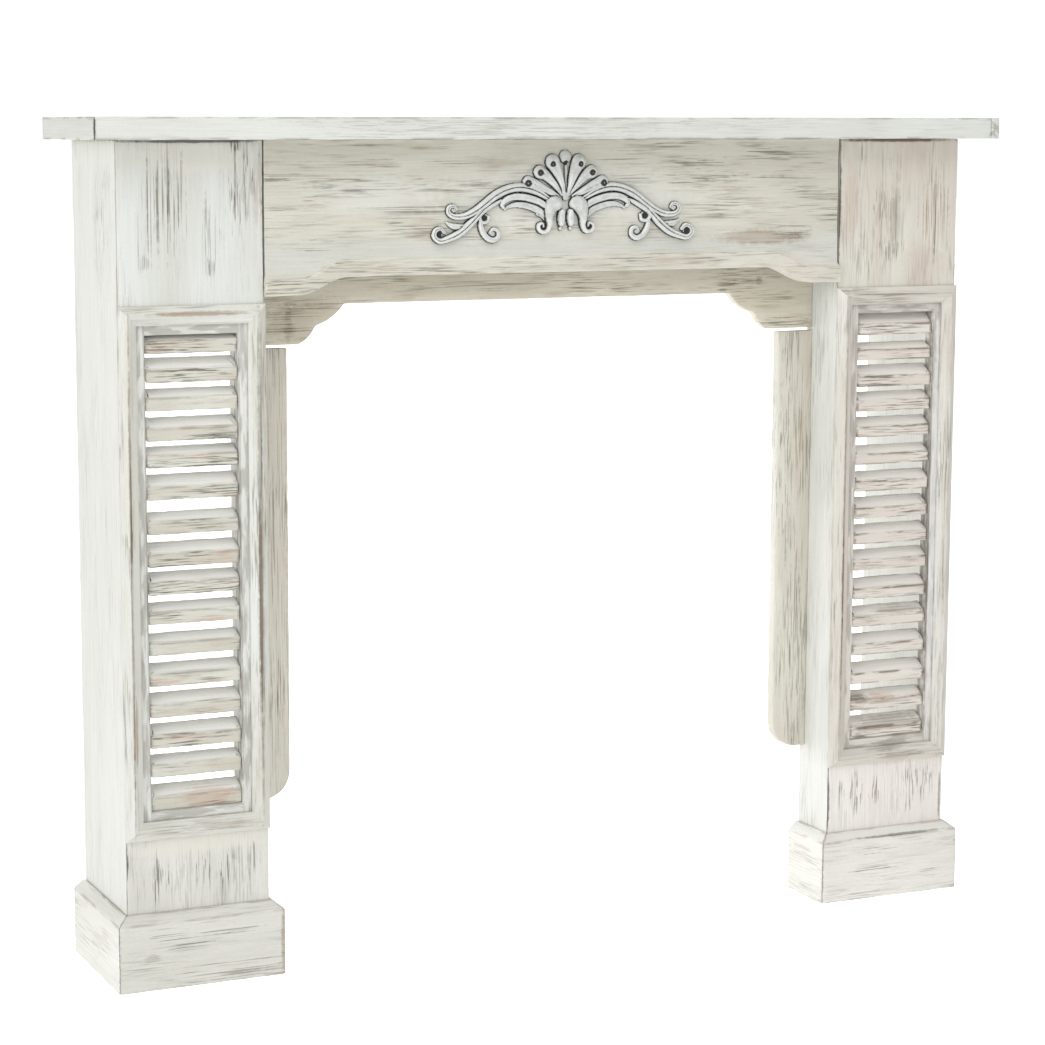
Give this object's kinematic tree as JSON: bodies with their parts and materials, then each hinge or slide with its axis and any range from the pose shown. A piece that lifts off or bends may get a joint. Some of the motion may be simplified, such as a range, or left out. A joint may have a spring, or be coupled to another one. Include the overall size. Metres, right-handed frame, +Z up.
{
  "type": "fireplace mantelpiece",
  "caption": "Free-standing wooden mantelpiece: shelf on two louvred legs with plinths, a frieze with a carved shell scroll, a shaped fascia and wing boards behind the hearth opening.",
  "frame": {"origin": "on the floor, under the middle of the outer box", "axes": "+Z up, +X to the right seen from the front, the front faces -Y and the open back faces +Y"},
  "size_m": [1.2, 0.218, 1.02],
  "materials": {
    "whitewash": "matt white wash, dry-brushed along the grain, grey and brown wear on edges and slat noses",
    "warm_wash": "matt cream wash, long grey-brown grain streaks, light lower arris",
    "taupe_wash": "thin taupe wash over brown grain and knots, matt",
    "ornament_paint": "cast ornament, cool light-grey paint with a near-black wash wiped into the hollows"
  },
  "bodies": {
    "root": {"shelf_top": "whitewash", "shelf_edge_front": "whitewash", "shelf_edge_left": "whitewash", "shelf_edge_right": "whitewash", "frieze": "warm_wash", "ornament": "ornament_paint", "rear_fascia": "taupe_wash", "left_wing": "warm_wash", "right_wing": "warm_wash", "left_outer_side": "whitewash", "left_inner_side": "whitewash", "left_head_board": "whitewash", "left_foot_board": "whitewash", "left_shutter_frame": "whitewash", "left_panel_moulding": "whitewash", "left_slat_01": "whitewash", "left_slat_02": "whitewash", "left_slat_03": "whitewash", "left_slat_04": "whitewash", "left_slat_05": "whitewash", "left_slat_06": "whitewash", "left_slat_07": "whitewash", "left_slat_08": "whitewash", "left_slat_09": "whitewash", "left_slat_10": "whitewash", "left_slat_11": "whitewash", "left_slat_12": "whitewash", "left_slat_13": "whitewash", "left_slat_14": "whitewash", "left_slat_15": "whitewash", "left_slat_16": "whitewash", "left_plinth_outer": "whitewash", "left_plinth_front": "whitewash", "left_plinth_inner": "whitewash", "right_outer_side": "whitewash", "right_inner_side": "whitewash", "right_head_board": "whitewash", "right_foot_board": "whitewash", "right_shutter_frame": "whitewash", "right_panel_moulding": "whitewash", "right_slat_01": "whitewash", "right_slat_02": "whitewash", "right_slat_03": "whitewash", "right_slat_04": "whitewash", "right_slat_05": "whitewash", "right_slat_06": "whitewash", "right_slat_07": "whitewash", "right_slat_08": "whitewash", "right_slat_09": "whitewash", "right_slat_10": "whitewash", "right_slat_11": "whitewash", "right_slat_12": "whitewash", "right_slat_13": "whitewash", "right_slat_14": "whitewash", "right_slat_15": "whitewash", "right_slat_16": "whitewash", "right_plinth_outer": "whitewash", "right_plinth_front": "whitewash", "right_plinth_inner": "whitewash"}
  },
  "joints": []
}
